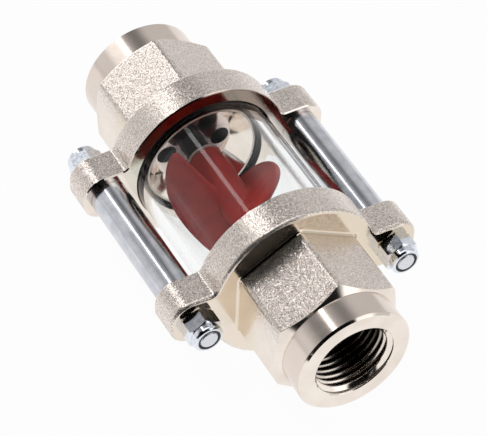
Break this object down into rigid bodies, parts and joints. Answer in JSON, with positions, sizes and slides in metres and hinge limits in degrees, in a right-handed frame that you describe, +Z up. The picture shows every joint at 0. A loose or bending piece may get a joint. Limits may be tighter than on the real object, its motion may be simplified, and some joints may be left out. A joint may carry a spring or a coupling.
{
  "type": "impeller flow indicator",
  "caption": "Inline flow indicator: plated brass sockets with hexagons and eared flanges clamp a glass tube in which a red two bladed impeller spins to show flow.",
  "frame": {"origin": "on the flow axis, half way between the two socket mouths", "axes": "+X along the flow axis towards the outlet socket, +Y towards the right tie stud, +Z up"},
  "size_m": [0.1096, 0.0664, 0.0448],
  "materials": {
    "nickel_plated_brass": "nickel plated, blasted forging skin with turned bright faces",
    "nickel_plated_plate": "nickel plated, turned",
    "bearing_bronze": "sintered, oiled",
    "seal_rubber": "matt black",
    "clear_glass": "clear, polished",
    "zinc_stud": "zinc plated",
    "zinc_sleeve": "zinc plated, drawn",
    "zinc_nut": "bright zinc plated",
    "nylon_insert": "dark, satin",
    "red_impeller": "satin brick red",
    "axle_steel": "ground",
    "washer_steel": "bright"
  },
  "bodies": {
    "housing": {"inlet_socket": "nickel_plated_brass", "outlet_socket": "nickel_plated_brass", "inlet_bearing_plate": "nickel_plated_plate", "outlet_bearing_plate": "nickel_plated_plate", "inlet_bearing_bush": "bearing_bronze", "outlet_bearing_bush": "bearing_bronze", "inlet_gasket": "seal_rubber", "outlet_gasket": "seal_rubber", "sight_glass": "clear_glass", "left_tie_stud": "zinc_stud", "right_tie_stud": "zinc_stud", "left_spacer_sleeve": "zinc_sleeve", "right_spacer_sleeve": "zinc_sleeve", "lock_nuts": "zinc_nut", "lock_nut_inserts": "nylon_insert"},
    "rotor": {"impeller": "red_impeller", "impeller_axle": "axle_steel", "inlet_thrust_washer": "washer_steel", "outlet_thrust_washer": "washer_steel"}
  },
  "joints": [
    {"name": "impeller_spin", "type": "hinge", "parent": "housing", "child": "rotor", "pos_m": [0, 0, 0], "axis": [1, 0, 0], "continuous": true}
  ]
}
